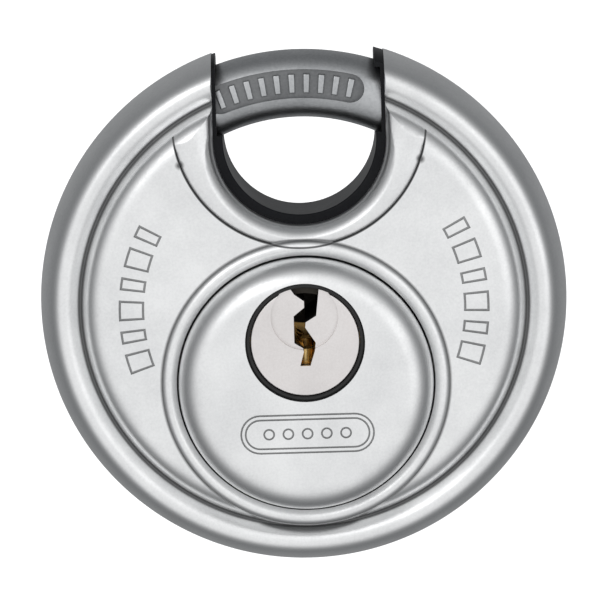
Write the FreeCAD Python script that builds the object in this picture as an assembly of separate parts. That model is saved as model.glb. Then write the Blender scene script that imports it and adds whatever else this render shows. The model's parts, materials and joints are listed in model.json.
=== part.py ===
import FreeCAD, Part

# Disc padlock: a round body of two pressed shells, with a ring-segment shackle that turns inside it
# about the disc's own axis and crosses an open notch at the top.
#
# Millimetres.  +Z is up, the keyed front faces -Y and +X is to the right seen from the front.  Pieces
# are drawn about the disc's centre and are moved down by the shackle's radius when they are written,
# so that the origin of the finished part is the centre of the shackle bar at the top of its arc.
# A depth is a distance in front of the middle plane, so a depth behind it is negative.
# An angle on the disc is in degrees clockwise from the top, seen from the front.

import math
import os

from FreeCAD import Vector

CENTRE = Vector(0, 0, 0)
ACROSS = Vector(1, 0, 0)
REARWARD = Vector(0, 1, 0)
UP = Vector(0, 0, 1)

# Main sizes, which the rest follows
DISC_RADIUS = 25.0
SHEET = 0.9
BAR_RADIUS = 3.2
RIM_GAP = 0.25               # between the shackle bar and the rim's inner skin
SHACKLE_RADIUS = DISC_RADIUS - SHEET - RIM_GAP - BAR_RADIUS

# Body shells
FACE_DEPTH = 6.5             # half depth of the flat faces
FACE_RADIUS = DISC_RADIUS - 6.4
SHOULDER_ROLL = 2.2
SHOULDER_SLOPE = 62.0
GROOVE_RADIUS = DISC_RADIUS - 3.9
GROOVE_DEPTH = BAR_RADIUS + 1.25
GROOVE_HALF_WIDTH = 0.24
GROOVE_RISE = 0.18
GROOVE_SPREAD = 0.55         # how much the groove widens inwards through the sheet
BEAD_RADIUS = DISC_RADIUS - 2.4
BEAD_DEPTH = GROOVE_DEPTH + 0.85

# Notch that the staple passes through
NOTCH_CENTRE = DISC_RADIUS - 9.15
NOTCH_RADIUS = 8.1
NOTCH_FLARE = 1.8
DISH_CENTRE = NOTCH_CENTRE + 1.95
DISH_RADIUS = NOTCH_RADIUS + 3.8    # crease between the flat face and the rolled edge
DISH_CREASE_DROP = 0.35
DISH_CREST_RADIUS = NOTCH_RADIUS + 2.3
DISH_CREST_DROP = 0.1
DISH_INNER_DROP = 0.9
INNER_GAP = 0.15             # inner plates stand this far off the notch's walls

# Shackle
TUNNEL_CLEARANCE = 0.2
NOSE_ANGLE = -33.0
TAIL_ANGLE = 62.0
BAR_END_FILLET = 0.9
LUG_START = 42.0
LUG_END = 60.0
LUG_INNER = SHACKLE_RADIUS - 7.25
LUG_OUTER = SHACKLE_RADIUS - 2.15
LUG_FRONT = -0.2
LUG_BACK = -2.6

# Sunk panel on the shackle's front, with plain raised bars
PANEL_RADIUS = SHACKLE_RADIUS + 0.25
PANEL_WIDTH = 2.7
PANEL_FLOOR = BAR_RADIUS - 0.7
PANEL_START = -20.5
PANEL_END = 13.5
PANEL_BAR_HEIGHT = 0.3
PANEL_BAR_MARGIN = 0.45
PANEL_BAR_ANGLE = 1.6
PANEL_BAR_COUNT = 10

# Liner of the notch
LINER_INNER = NOTCH_RADIUS - 0.9
LINER_DEPTH = BAR_RADIUS + 0.8
LINER_SET_BACK = 0.1
LINER_SHOULDER = 0.4         # the liner thins to its collars this far above the notch's centre
COLLAR_WALL = 0.35
COLLAR_TIP_WALL = 1.1        # thicker tip over the shackle, on the side of its tail
COLLAR_TIP_HEIGHT = SHACKLE_RADIUS + 1.75

# Cup over the lock cylinder
CUP_CENTRE = -7.0
CUP_RADIUS = 12.0
CUP_FACE_DEPTH = FACE_DEPTH + 2.8
CUP_ROLL = 2.7
CUP_SEAM = 0.16
CUP_FLANGE_RADIUS = CUP_RADIUS + 2.2
CUP_FLANGE_LIMIT = 17.0      # flange is trimmed to this distance from the disc's centre
LIP_WIDTH = 1.4
LIP_RISE = 0.5
LIP_EDGE_RISE = 0.1
LIP_SKIRT = 0.6
LIP_SKIRT_DEPTH = 4.6
LIP_ROOT_DEPTH = 3.0

# Engraved marks: a badge frame on the cup and hollow bars on the body's face
ENGRAVING_DEPTH = 0.12
ENGRAVING_STROKE = 0.22
BADGE_LENGTH = 12.6
BADGE_HEIGHT = 3.75
BADGE_CENTRE = -11.3
BADGE_LINE_GAP = 0.42
BADGE_RING_COUNT = 5
BADGE_RING_RADIUS = 0.55
BADGE_RING_STEP = 1.8
MARK_RADIUS = DISC_RADIUS - 8.8
MARK_HEIGHT = 2.4
MARK_START = 63.0
MARK_STEP = 8.6
MARK_COUNT = 6
MARK_WIDE = 6.6
MARK_NARROW = 4.2

# Lock cylinder
BODY_RADIUS = CUP_RADIUS - 2.2
BODY_FLANGE_BACK = CUP_FACE_DEPTH - 3.9
BODY_FRONT = CUP_FACE_DEPTH - 1.9
BODY_BACK = -2.4
PLUG_CENTRE = -2.7
PLUG_RADIUS = 4.4
PLUG_CLEARANCE = 0.03
PLUG_FRONT = CUP_FACE_DEPTH - 1.8
PLUG_BACK = -2.45
FACE_CAP_RADIUS = PLUG_RADIUS + 0.7
FACE_CAP_FRONT = CUP_FACE_DEPTH - 0.5
SEAL_RADIUS = FACE_CAP_RADIUS + 0.5
SEAL_CLEARANCE = 0.05
SEAL_FRONT = CUP_FACE_DEPTH - 0.35
GUARD_RADIUS = CUP_RADIUS - CUP_ROLL - 0.1
FINGER_RECESS_RADIUS = 3.15
FINGER_RECESS_RISE = 2.4     # above the plug's axis
FINGER_RECESS_DEPTH = 0.45
KEYWAY_END = -1.2
CLIP_RADIUS = PLUG_RADIUS + 0.6
CLIP_GROOVE_RADIUS = PLUG_RADIUS - 0.7
CLIP_FRONT = -1.65
CLIP_BACK = -2.25
CLIP_CLEARANCE = 0.05

# Pins
PIN_COUNT = 4
PIN_STEP = 2.1
FIRST_PIN_DEPTH = PLUG_FRONT - 1.4
PIN_RADIUS = 0.8
PIN_CLEARANCE = 0.05
KEY_PIN_SETBACK = 0.12       # key pins stand this far inside the plug's skin
KEY_PIN_SHORTEST = 2.7
KEY_PIN_DEPTHS = (2, 0, 3, 1)
KEY_PIN_DEPTH_STEP = 0.3
KEY_PIN_TRAVEL_TOP = 1.0     # key pin holes end this far above the plug's axis
DRIVER_SETBACK = 0.06
DRIVER_LENGTH = 3.2
CHAMBER_CAP_TOP = CUP_CENTRE + 1.8 - BODY_RADIUS
CHAMBER_CAP_LENGTH = 1.0
SPRING_RADIUS = 0.62
SPRING_WIRE = 0.11
SPRING_TURNS = 6

# Drive between plug and shackle: a pinion inside a ring with internal teeth
MODULE = 0.6
PINION_TEETH = 12
RING_TEETH = 21
PRESSURE_ANGLE = 25.0
ADDENDUM = 0.48
DEDENDUM = 0.66
BACKLASH = 0.06
PINION_FRONT = -2.6
PINION_BACK = -3.5
TANG_WIDTH = 3.0
PINION_SCREW_HEAD = 1.6
PINION_SCREW_SHANK = 0.6
PINION_SCREW_HEAD_HEIGHT = 0.6
PINION_SCREW_REACH = 0.5
CARRIER_OUTER = 9.8
CARRIER_FRONT = -2.6
CARRIER_BACK = -4.5
CARRIER_TEETH_BACK = -3.6
CARRIER_START = 42.0
CARRIER_END = 248.0
ARM_END_RADIUS = SHACKLE_RADIUS - 3.65
COLLAR_INNER = 7.1
COLLAR_OUTER = 8.4
COLLAR_FRONT = CARRIER_TEETH_BACK - 0.1
COLLAR_CLEARANCE = 0.05
PLATE_FRONT = CARRIER_BACK - 0.1
PLATE_RADIUS = DISC_RADIUS - 8.5
RIVET_RADIUS = 0.8
RIVET_PLACE = SHACKLE_RADIUS - 5.25
RIVET_ANGLES = (46.5, 55.5)
RIVET_FRONT = -0.8

# Fasteners between cylinder and bearing plate
SCREW_ACROSS = 4.5
SCREW_HEIGHT = CUP_CENTRE + 3.5 - BODY_RADIUS
SCREW_RADIUS = 0.9
SCREW_HEAD_RADIUS = 1.7
SCREW_HEAD_HEIGHT = 0.8
SCREW_TIP = 2.0
SLEEVE_WALL = 0.6

HALF_NOTCH_HEIGHT = 16.0     # how far the notch's straight sides are cut above its centre
FAR = 12.0                   # beyond the deepest face


def sine(angle):
    return math.sin(math.radians(angle))


def cosine(angle):
    return math.cos(math.radians(angle))


def polar(radius, depth, angle):
    """Point at a radius and angle about the disc's axis."""
    return Vector(radius * sine(angle), -depth, radius * cosine(angle))


def section(radius, depth):
    """Point of a half section: radius along X, depth towards the front."""
    return Vector(radius, -depth, 0)


def line(start, end):
    return Part.LineSegment(start, end).toShape()


def arc(start, middle, end):
    return Part.Arc(start, middle, end).toShape()


def path(points):
    return [line(a, b) for a, b in zip(points, points[1:])]


def face(edges):
    return Part.Face(Part.Wire(edges))


def turned(edges, z=0.0):
    """Solid of revolution of a closed half section about an axis along Y at height z."""
    solid = face(edges).revolve(CENTRE, REARWARD, 360)
    solid.translate(Vector(0, 0, z))
    return solid


def roll_point(centre_radius, centre_depth, roll, angle):
    """Point on a rounded edge whose angle is counted from the face towards the rim."""
    return section(centre_radius + roll * sine(angle), centre_depth + roll * cosine(angle))


def rod(radius, front, back, x=0.0, z=0.0):
    """Cylinder about an axis along Y between two depths."""
    return Part.makeCylinder(radius, front - back, Vector(x, -front, z), REARWARD)


def washer(outer, inner, front, back, x=0.0, z=0.0):
    return rod(outer, front, back, x, z).cut(rod(inner, front, back, x, z))


def block(x_size, front, back, z_low, z_high, x=0.0):
    """Box centred on x between two depths and two heights."""
    return Part.makeBox(x_size, front - back, z_high - z_low, Vector(x - x_size / 2, -front, z_low))


def sector(inner, outer, start, end, front, back):
    """Part of a ring about the disc's axis, between two angles."""
    corners = [(inner, front), (outer, front), (outer, back), (inner, back), (inner, front)]
    outline = face(path([polar(radius, depth, start) for radius, depth in corners]))
    return outline.revolve(CENTRE, REARWARD, end - start)


def mirrored_back(shape):
    return shape.mirror(CENTRE, REARWARD)


def fused(shapes):
    return shapes[0].multiFuse(shapes[1:]).removeSplitter()


# Body shells

def body_envelope(inset, back=0.0):
    """Front half of the body, inset from its outer skin by a wall."""
    top = FACE_DEPTH - inset
    roll = SHOULDER_ROLL - inset
    groove = GROOVE_DEPTH - inset
    groove_edge = groove + GROOVE_RISE
    groove_half = GROOVE_HALF_WIDTH + GROOVE_SPREAD * inset
    roll_end = roll_point(FACE_RADIUS, top - roll, roll, SHOULDER_SLOPE)
    roll_middle = roll_point(FACE_RADIUS, top - roll, roll, SHOULDER_SLOPE / 2)
    groove_start = section(GROOVE_RADIUS - groove_half, groove_edge)
    groove_end = section(GROOVE_RADIUS + groove_half, groove_edge)
    crest = section(BEAD_RADIUS, BEAD_DEPTH - inset)
    bead_run = crest.x - groove_end.x
    bead_rise = (BEAD_DEPTH - inset) - groove_edge
    bead_middle = section(groove_end.x + 0.4 * bead_run, groove_edge + 0.72 * bead_rise)
    rim = section(DISC_RADIUS - inset, 0)
    rim_curve = Part.ArcOfEllipse(Part.Ellipse(crest, rim, section(BEAD_RADIUS, 0)), 0, math.pi / 2)
    edges = [line(section(0, back), section(0, top)), line(section(0, top), section(FACE_RADIUS, top))]
    edges.append(arc(section(FACE_RADIUS, top), roll_middle, roll_end))
    edges.append(line(roll_end, groove_start))
    edges.append(arc(groove_start, section(GROOVE_RADIUS, groove), groove_end))
    edges.append(arc(groove_end, bead_middle, crest))
    edges.append(rim_curve.toShape())
    edges += path([rim, section(rim.x, back), section(0, back)]) if back else [line(rim, section(0, 0))]
    return turned(edges)


def notch_tool(inset):
    """Space of the notch through the whole body, grown into the metal by a wall."""
    wall = NOTCH_RADIUS + inset
    flare = NOTCH_FLARE - inset
    outer = wall + flare
    top = FACE_DEPTH - inset
    bend = flare * (1 - cosine(45))
    front_edges = [line(section(wall, 0), section(wall, top - flare))]
    front_edges.append(arc(section(wall, top - flare), section(wall + bend, top - bend), section(outer, top)))
    front_edges += path([section(outer, top), section(outer, FAR), section(0, FAR), CENTRE])
    front_edges.append(line(CENTRE, section(wall, 0)))
    half_section = face(front_edges)
    lower = half_section.revolve(CENTRE, REARWARD, 180)
    right = half_section.extrude(UP * HALF_NOTCH_HEIGHT)
    left = right.mirror(CENTRE, ACROSS)
    front = fused([lower, right, left])
    tool = fused([front, mirrored_back(front)])
    tool.translate(Vector(0, 0, NOTCH_CENTRE))
    return tool


def dish_tool(inset):
    """Space over the raised band between the face's crease and the notch's rolled edge."""
    top = FACE_DEPTH - inset
    middle = section(0, top - DISH_INNER_DROP)
    inner = section(NOTCH_RADIUS, top - DISH_INNER_DROP)
    crest = section(DISH_CREST_RADIUS, top - DISH_CREST_DROP)
    crease = section(DISH_RADIUS, top - DISH_CREASE_DROP)
    edges = [line(middle, inner), arc(inner, crest, crease)]
    edges += path([crease, section(DISH_RADIUS, FAR), section(0, FAR), middle])
    return turned(edges, DISH_CENTRE)


def opened(envelope, inset):
    """Envelope with the notch and its dish taken away."""
    return envelope.cut(notch_tool(inset)).cut(dish_tool(inset))


def shackle_tunnel():
    """Passage for the shackle through the notch's cheeks."""
    reach = 2 * math.degrees(math.asin(NOTCH_RADIUS / SHACKLE_RADIUS)) - 10
    return bar(BAR_RADIUS + TUNNEL_CLEARANCE, -reach, reach)


def cup_lip():
    """Rounded ring that the front shell raises round the cup."""
    inner = CUP_RADIUS + CUP_SEAM
    outer = inner + LIP_WIDTH
    crest = FACE_DEPTH + LIP_RISE
    edge = FACE_DEPTH + LIP_EDGE_RISE
    foot = FACE_DEPTH - LIP_EDGE_RISE
    skirt = outer + LIP_SKIRT
    edges = [line(section(inner, LIP_ROOT_DEPTH), section(inner, edge))]
    edges.append(arc(section(inner, edge), section(inner + 0.45 * LIP_WIDTH, crest), section(outer, foot)))
    edges += path([section(outer, foot), section(skirt, LIP_SKIRT_DEPTH), section(skirt, LIP_ROOT_DEPTH),
                   section(inner, LIP_ROOT_DEPTH)])
    return turned(edges, CUP_CENTRE)


def mark_tools():
    """Hollow bars engraved on both sides of the face."""
    tools = []
    inner = MARK_RADIUS - MARK_HEIGHT / 2
    outer = MARK_RADIUS + MARK_HEIGHT / 2
    floor = FACE_DEPTH - ENGRAVING_DEPTH
    stroke_angle = math.degrees(ENGRAVING_STROKE / MARK_RADIUS)
    for index in range(MARK_COUNT):
        width = MARK_WIDE if index % 2 else MARK_NARROW
        for side in (-1, 1):
            middle = side * (MARK_START + index * MARK_STEP)
            start = middle - width / 2
            end = middle + width / 2
            whole = sector(inner, outer, start, end, FAR, floor)
            core = sector(inner + ENGRAVING_STROKE, outer - ENGRAVING_STROKE,
                          start + stroke_angle, end - stroke_angle, FAR, floor)
            tools.append(whole.cut(core))
    return tools


def build_front_shell():
    outer = opened(body_envelope(0), 0).fuse(cup_lip())
    inner = opened(body_envelope(SHEET, -1), SHEET)
    shell = outer.cut(inner).cut(shackle_tunnel())
    shell = shell.cut(rod(CUP_RADIUS + CUP_SEAM, FAR, -1, z=CUP_CENTRE))
    return shell.cut(mark_tools())


def build_rear_shell():
    outer = opened(body_envelope(0), 0)
    inner = opened(body_envelope(SHEET, -1), SHEET)
    return mirrored_back(outer.cut(inner).cut(shackle_tunnel()))


# Cup and its badge

def stadium(length, height, front, back, z):
    """Slot shape with round ends, flat in the middle plane and extruded along Y."""
    radius = height / 2
    half = length / 2 - radius
    ends = [rod(radius, front, back, x=side * half, z=z) for side in (-1, 1)]
    return fused([block(2 * half, front, back, z - radius, z + radius)] + ends)


def badge_tools():
    """Two thin lines round the badge and a row of small rings inside it."""
    floor = CUP_FACE_DEPTH - ENGRAVING_DEPTH
    tools = []
    for inset in (0, BADGE_LINE_GAP):
        length = BADGE_LENGTH - 2 * inset
        height = BADGE_HEIGHT - 2 * inset
        core = stadium(length - ENGRAVING_STROKE, height - ENGRAVING_STROKE, FAR, floor, BADGE_CENTRE)
        tools.append(stadium(length, height, FAR, floor, BADGE_CENTRE).cut(core))
    for index in range(BADGE_RING_COUNT):
        x = (index - (BADGE_RING_COUNT - 1) / 2) * BADGE_RING_STEP
        tools.append(washer(BADGE_RING_RADIUS, BADGE_RING_RADIUS - ENGRAVING_STROKE, FAR, floor, x, BADGE_CENTRE))
    return tools


def build_cylinder_cup():
    flange_front = FACE_DEPTH - SHEET
    flange_back = flange_front - SHEET
    roll_depth = CUP_FACE_DEPTH - CUP_ROLL
    roll_radius = CUP_RADIUS - CUP_ROLL
    inner_face = CUP_FACE_DEPTH - SHEET
    inner_wall = CUP_RADIUS - SHEET
    edges = [line(section(0, CUP_FACE_DEPTH), section(roll_radius, CUP_FACE_DEPTH))]
    edges.append(arc(section(roll_radius, CUP_FACE_DEPTH), roll_point(roll_radius, roll_depth, CUP_ROLL, 45),
                     section(CUP_RADIUS, roll_depth)))
    edges += path([section(CUP_RADIUS, roll_depth), section(CUP_RADIUS, flange_back),
                   section(inner_wall, flange_back), section(inner_wall, roll_depth)])
    edges.append(arc(section(inner_wall, roll_depth), roll_point(roll_radius, roll_depth, CUP_ROLL - SHEET, 45),
                     section(roll_radius, inner_face)))
    edges += path([section(roll_radius, inner_face), section(0, inner_face), section(0, CUP_FACE_DEPTH)])
    cup = turned(edges, CUP_CENTRE).cut(rod(SEAL_RADIUS, FAR, 0, z=PLUG_CENTRE)).cut(badge_tools())
    flange = washer(CUP_FLANGE_RADIUS, CUP_RADIUS, flange_front, flange_back, z=CUP_CENTRE)
    flange = opened(flange.common(rod(CUP_FLANGE_LIMIT, FAR, 0)), SHEET + INNER_GAP)
    return fused([cup, flange])


# Shackle

def bar(radius, start, end):
    """Round bar bent about the disc's axis between two angles."""
    circle = Part.Circle(polar(SHACKLE_RADIUS, 0, start), polar(1, 0, start + 90), radius)
    return face([circle.toShape()]).revolve(CENTRE, REARWARD, end - start)


def end_edge(shape, angle):
    """Round edge of the bar's end face at an angle."""
    middle = polar(SHACKLE_RADIUS, 0, angle)
    return [edge for edge in shape.Edges if (edge.CenterOfMass - middle).Length < 0.01 and edge.isClosed()]


def panel_tool():
    """Sunk panel that follows the bar, with round ends."""
    half = PANEL_WIDTH / 2
    strip = sector(PANEL_RADIUS - half, PANEL_RADIUS + half, PANEL_START, PANEL_END, FAR, PANEL_FLOOR)
    ends = []
    for angle in (PANEL_START, PANEL_END):
        place = polar(PANEL_RADIUS, 0, angle)
        ends.append(rod(half, FAR, PANEL_FLOOR, place.x, place.z))
    return fused([strip] + ends)


def panel_bars():
    """Row of plain bars raised from the panel's floor."""
    half = PANEL_WIDTH / 2 - PANEL_BAR_MARGIN
    step = (PANEL_END - PANEL_START) / (PANEL_BAR_COUNT - 1)
    bars = []
    for index in range(PANEL_BAR_COUNT):
        start = PANEL_START + index * step - PANEL_BAR_ANGLE / 2
        bars.append(sector(PANEL_RADIUS - half, PANEL_RADIUS + half, start, start + PANEL_BAR_ANGLE,
                           PANEL_FLOOR + PANEL_BAR_HEIGHT, PANEL_FLOOR - PANEL_BAR_HEIGHT))
    return bars


def rivet_holes(front, back):
    holes = []
    for angle in RIVET_ANGLES:
        place = polar(RIVET_PLACE, 0, angle)
        holes.append(rod(RIVET_RADIUS, front, back, place.x, place.z))
    return holes


def build_shackle():
    shackle = bar(BAR_RADIUS, NOSE_ANGLE, TAIL_ANGLE)
    ends = end_edge(shackle, NOSE_ANGLE) + end_edge(shackle, TAIL_ANGLE)
    shackle = shackle.makeFillet(BAR_END_FILLET, ends)
    lug = sector(LUG_INNER, LUG_OUTER, LUG_START, LUG_END, LUG_FRONT, LUG_BACK)
    shackle = shackle.fuse(lug).cut(rivet_holes(RIVET_FRONT, CARRIER_BACK))
    return fused([shackle.cut(panel_tool())] + panel_bars())


# Liner of the notch

def build_throat_liner():
    """Moulded strip round the notch whose upright sides close round the shackle as thin collars."""
    outer = rod(NOTCH_RADIUS, LINER_DEPTH, -LINER_DEPTH, z=NOTCH_CENTRE)
    inner = rod(LINER_INNER, LINER_DEPTH, -LINER_DEPTH, z=NOTCH_CENTRE)
    shoulder = NOTCH_CENTRE + LINER_SHOULDER
    top = NOTCH_CENTRE + HALF_NOTCH_HEIGHT
    between = 2 * (NOTCH_RADIUS - COLLAR_WALL)
    beside_tip = between + COLLAR_WALL - COLLAR_TIP_WALL
    outer = outer.fuse(block(2 * NOTCH_RADIUS, LINER_DEPTH, -LINER_DEPTH, NOTCH_CENTRE, top))
    inner = inner.fuse(block(2 * LINER_INNER, LINER_DEPTH, -LINER_DEPTH, NOTCH_CENTRE, shoulder))
    inner = inner.fuse(block(between, LINER_DEPTH, -LINER_DEPTH, shoulder, COLLAR_TIP_HEIGHT))
    inner = inner.fuse(block(beside_tip, LINER_DEPTH, -LINER_DEPTH, COLLAR_TIP_HEIGHT, top,
                             (COLLAR_WALL - COLLAR_TIP_WALL) / 2))
    front = body_envelope(LINER_SET_BACK)
    inside = front.fuse(mirrored_back(front))
    liner = outer.cut(inner).common(inside)
    return liner.cut(shackle_tunnel())


# Lock cylinder

def pin_depths():
    return [FIRST_PIN_DEPTH - index * PIN_STEP for index in range(PIN_COUNT)]


def upright(radius, depth, low, high):
    """Cylinder along Z in the middle plane of the keyway."""
    return Part.makeCylinder(radius, high - low, Vector(0, -depth, low), UP)


def screw_places():
    return [(side * SCREW_ACROSS, SCREW_HEIGHT) for side in (-1, 1)]


def build_cylinder_body():
    body = rod(BODY_RADIUS, BODY_FRONT, BODY_BACK, z=CUP_CENTRE)
    body = fused([body, rod(CUP_RADIUS - SHEET, CUP_FACE_DEPTH - CUP_ROLL, BODY_FLANGE_BACK, z=CUP_CENTRE)])
    body = body.cut(rod(PLUG_RADIUS + PLUG_CLEARANCE, FAR, -FAR, z=PLUG_CENTRE))
    counterbore = CLIP_RADIUS + CLIP_CLEARANCE
    body = body.cut(rod(counterbore, CLIP_FRONT + CLIP_CLEARANCE, -FAR, z=PLUG_CENTRE))
    low = CUP_CENTRE - BODY_RADIUS - 1
    for depth in pin_depths():
        body = body.cut(upright(PIN_RADIUS + PIN_CLEARANCE, depth, low, PLUG_CENTRE))
    for x, z in screw_places():
        body = body.cut(rod(SCREW_RADIUS, SCREW_TIP, BODY_BACK, x, z))
    return body


def build_chamber_caps():
    low = CHAMBER_CAP_TOP - CHAMBER_CAP_LENGTH
    return Part.makeCompound([upright(PIN_RADIUS + PIN_CLEARANCE, depth, low, CHAMBER_CAP_TOP) for depth in pin_depths()])


def keyway_outline(depth):
    """Stepped keyway about the plug's axis: a wide mouth at the top, then two offset wards."""
    mouth_half = 1.45
    mouth_top = 5.3
    ward_half = 1.0
    upper_ward = 2.4
    middle_ward = -0.15
    foot = -2.25
    corners = [(-mouth_half, mouth_top), (mouth_half, mouth_top), (ward_half + 0.1, upper_ward)]
    corners += [(0.1, 1.8), (0.05, 1.3), (ward_half, middle_ward), (0.9, -0.85), (0.45, foot), (-0.5, foot)]
    corners += [(-0.13, -0.9), (-0.2, -0.65), (-ward_half, middle_ward), (-ward_half, upper_ward)]
    corners += [(0, 3.2), (0, 3.8), (-0.9, 4.45), (-mouth_half, mouth_top)]
    return [Vector(x, -depth, PLUG_CENTRE + z) for x, z in corners]


def keyway_tool(front, back):
    return face(path(keyway_outline(front))).extrude(REARWARD * (front - back))


def build_plug():
    plug = rod(PLUG_RADIUS, PLUG_FRONT, PLUG_BACK, z=PLUG_CENTRE)
    plug = plug.cut(washer(PLUG_RADIUS + 1, CLIP_GROOVE_RADIUS, CLIP_FRONT, CLIP_BACK, z=PLUG_CENTRE))
    half = TANG_WIDTH / 2
    plug = fused([plug, block(TANG_WIDTH, PLUG_BACK, PINION_BACK, PLUG_CENTRE - half, PLUG_CENTRE + half)])
    for depth in pin_depths():
        hole = upright(PIN_RADIUS + PIN_CLEARANCE, depth, PLUG_CENTRE - PLUG_RADIUS - 1,
                       PLUG_CENTRE + KEY_PIN_TRAVEL_TOP + PIN_CLEARANCE)
        plug = plug.cut(hole)
    plug = plug.cut(keyway_tool(FAR, KEYWAY_END))
    return plug.cut(rod(PINION_SCREW_SHANK, -PINION_SCREW_REACH + KEYWAY_END, -FAR, z=PLUG_CENTRE))


def build_plug_face_cap():
    cap = rod(FACE_CAP_RADIUS, FACE_CAP_FRONT, PLUG_FRONT, z=PLUG_CENTRE)
    recess_floor = FACE_CAP_FRONT - FINGER_RECESS_DEPTH
    cap = cap.cut(rod(FINGER_RECESS_RADIUS, FAR, recess_floor, z=PLUG_CENTRE + FINGER_RECESS_RISE))
    return cap.cut(keyway_tool(FAR, 0))


def build_plug_seal_ring():
    return washer(SEAL_RADIUS, FACE_CAP_RADIUS + SEAL_CLEARANCE, SEAL_FRONT, BODY_FRONT, z=PLUG_CENTRE)


def build_drill_guard_plate():
    plate = rod(GUARD_RADIUS, CUP_FACE_DEPTH - SHEET, BODY_FRONT, z=CUP_CENTRE)
    return plate.cut(rod(SEAL_RADIUS, FAR, 0, z=PLUG_CENTRE))


def build_plug_retaining_clip():
    return washer(CLIP_RADIUS, CLIP_GROOVE_RADIUS, CLIP_FRONT, CLIP_BACK, z=PLUG_CENTRE)


def key_pin_bottom():
    return PLUG_CENTRE - PLUG_RADIUS + KEY_PIN_SETBACK


def driver_pin_top():
    return PLUG_CENTRE - PLUG_RADIUS - DRIVER_SETBACK


def build_key_pin(index):
    length = KEY_PIN_SHORTEST + KEY_PIN_DEPTHS[index] * KEY_PIN_DEPTH_STEP
    low = key_pin_bottom()
    return upright(PIN_RADIUS, pin_depths()[index], low, low + length)


def build_driver_pin(index):
    top = driver_pin_top()
    return upright(PIN_RADIUS, pin_depths()[index], top - DRIVER_LENGTH, top)


def build_pin_spring(index):
    low = CHAMBER_CAP_TOP + SPRING_WIRE
    high = driver_pin_top() - DRIVER_LENGTH - SPRING_WIRE
    helix = Part.makeHelix((high - low) / SPRING_TURNS, high - low, SPRING_RADIUS)
    circle = Part.Circle(Vector(SPRING_RADIUS, 0, 0), REARWARD, SPRING_WIRE)
    wire = Part.Wire([circle.toShape()])
    spring = Part.Wire(helix.Edges).makePipeShell([wire], True, True)
    spring.translate(Vector(0, -pin_depths()[index], low))
    return spring


# Drive from the plug to the shackle

def involute_angle(radius, base):
    roll = math.acos(base / radius)
    return math.degrees(math.tan(roll) - roll)


def gear_blank(teeth, tip, root, thickness, front, back):
    """Solid spur gear about the disc's axis, one tooth pointing down, with involute flanks."""
    pitch = MODULE * teeth / 2
    base = pitch * cosine(PRESSURE_ANGLE)
    first = max(root, base)
    half_at_pitch = math.degrees(thickness / pitch) / 2
    steps = 4
    radii = [first + (tip - first) * index / steps for index in range(steps + 1)]
    halves = [half_at_pitch + involute_angle(pitch, base) - involute_angle(radius, base) for radius in radii]
    spacing = 360 / teeth
    edges = []
    for tooth in range(teeth):
        middle = 180 + tooth * spacing
        rising = [polar(radius, front, middle - half) for radius, half in zip(radii, halves)]
        falling = [polar(radius, front, middle + half) for radius, half in zip(radii, halves)][::-1]
        root_start = polar(root, front, middle - halves[0])
        root_end = polar(root, front, middle + halves[0])
        next_root = polar(root, front, middle + spacing - halves[0])
        if root < first:
            edges.append(line(root_start, rising[0]))
        edges.append(curve(rising))
        edges.append(arc(rising[-1], polar(tip, front, middle), falling[0]))
        edges.append(curve(falling))
        if root < first:
            edges.append(line(falling[-1], root_end))
        edges.append(arc(root_end, polar(root, front, middle + spacing / 2), next_root))
    return face(edges).extrude(REARWARD * (front - back))


def curve(points):
    spline = Part.BSplineCurve()
    spline.interpolate(points)
    return spline.toShape()


def build_drive_pinion():
    pitch = MODULE * PINION_TEETH / 2
    thickness = math.pi * MODULE / 2 - BACKLASH
    pinion = gear_blank(PINION_TEETH, pitch + ADDENDUM, pitch - DEDENDUM, thickness, PINION_FRONT, PINION_BACK)
    pinion.translate(Vector(0, 0, PLUG_CENTRE))
    half = TANG_WIDTH / 2
    return pinion.cut(block(TANG_WIDTH, 0, -FAR, PLUG_CENTRE - half, PLUG_CENTRE + half))


def build_pinion_screw():
    head_back = PINION_BACK - PINION_SCREW_HEAD_HEIGHT
    head = rod(PINION_SCREW_HEAD, PINION_BACK, head_back, z=PLUG_CENTRE)
    shank = rod(PINION_SCREW_SHANK, -PINION_SCREW_REACH + KEYWAY_END, PINION_BACK, z=PLUG_CENTRE)
    return fused([head, shank])


def build_shackle_carrier():
    pitch = MODULE * RING_TEETH / 2
    space = math.pi * MODULE / 2 + BACKLASH
    root = pitch + DEDENDUM
    ring = sector(1, CARRIER_OUTER, CARRIER_START, CARRIER_END, CARRIER_FRONT, CARRIER_BACK)
    ring = ring.cut(gear_blank(RING_TEETH, root, pitch - ADDENDUM, space, 0, CARRIER_TEETH_BACK))
    ring = ring.cut(rod(COLLAR_OUTER + COLLAR_CLEARANCE, CARRIER_TEETH_BACK, -FAR))
    arm = sector(CARRIER_OUTER - 0.5, ARM_END_RADIUS, LUG_START, LUG_END, CARRIER_FRONT, CARRIER_BACK)
    return fused([ring, arm]).cut(rivet_holes(0, -FAR))


def build_carrier_rivets():
    return Part.makeCompound(rivet_holes(RIVET_FRONT, CARRIER_BACK))


def build_bearing_plate():
    plate_back = SHEET - FACE_DEPTH
    plate = rod(PLATE_RADIUS, PLATE_FRONT, plate_back)
    collar = washer(COLLAR_OUTER, COLLAR_INNER, COLLAR_FRONT, PLATE_FRONT)
    plate = mirrored_back(opened(mirrored_back(fused([plate, collar])), SHEET + INNER_GAP))
    for x, z in screw_places():
        plate = plate.cut(cylinder_screw(x, z))
    return plate


def cylinder_screw(x, z):
    """Countersunk screw whose head lies flush in the bearing plate."""
    head_front = SHEET - FACE_DEPTH + SCREW_HEAD_HEIGHT
    seat = Vector(x, -head_front, z)
    cone = Part.makeCone(SCREW_RADIUS, SCREW_HEAD_RADIUS, SCREW_HEAD_HEIGHT, seat, REARWARD)
    return fused([rod(SCREW_RADIUS, SCREW_TIP, head_front, x, z), cone])


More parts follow.
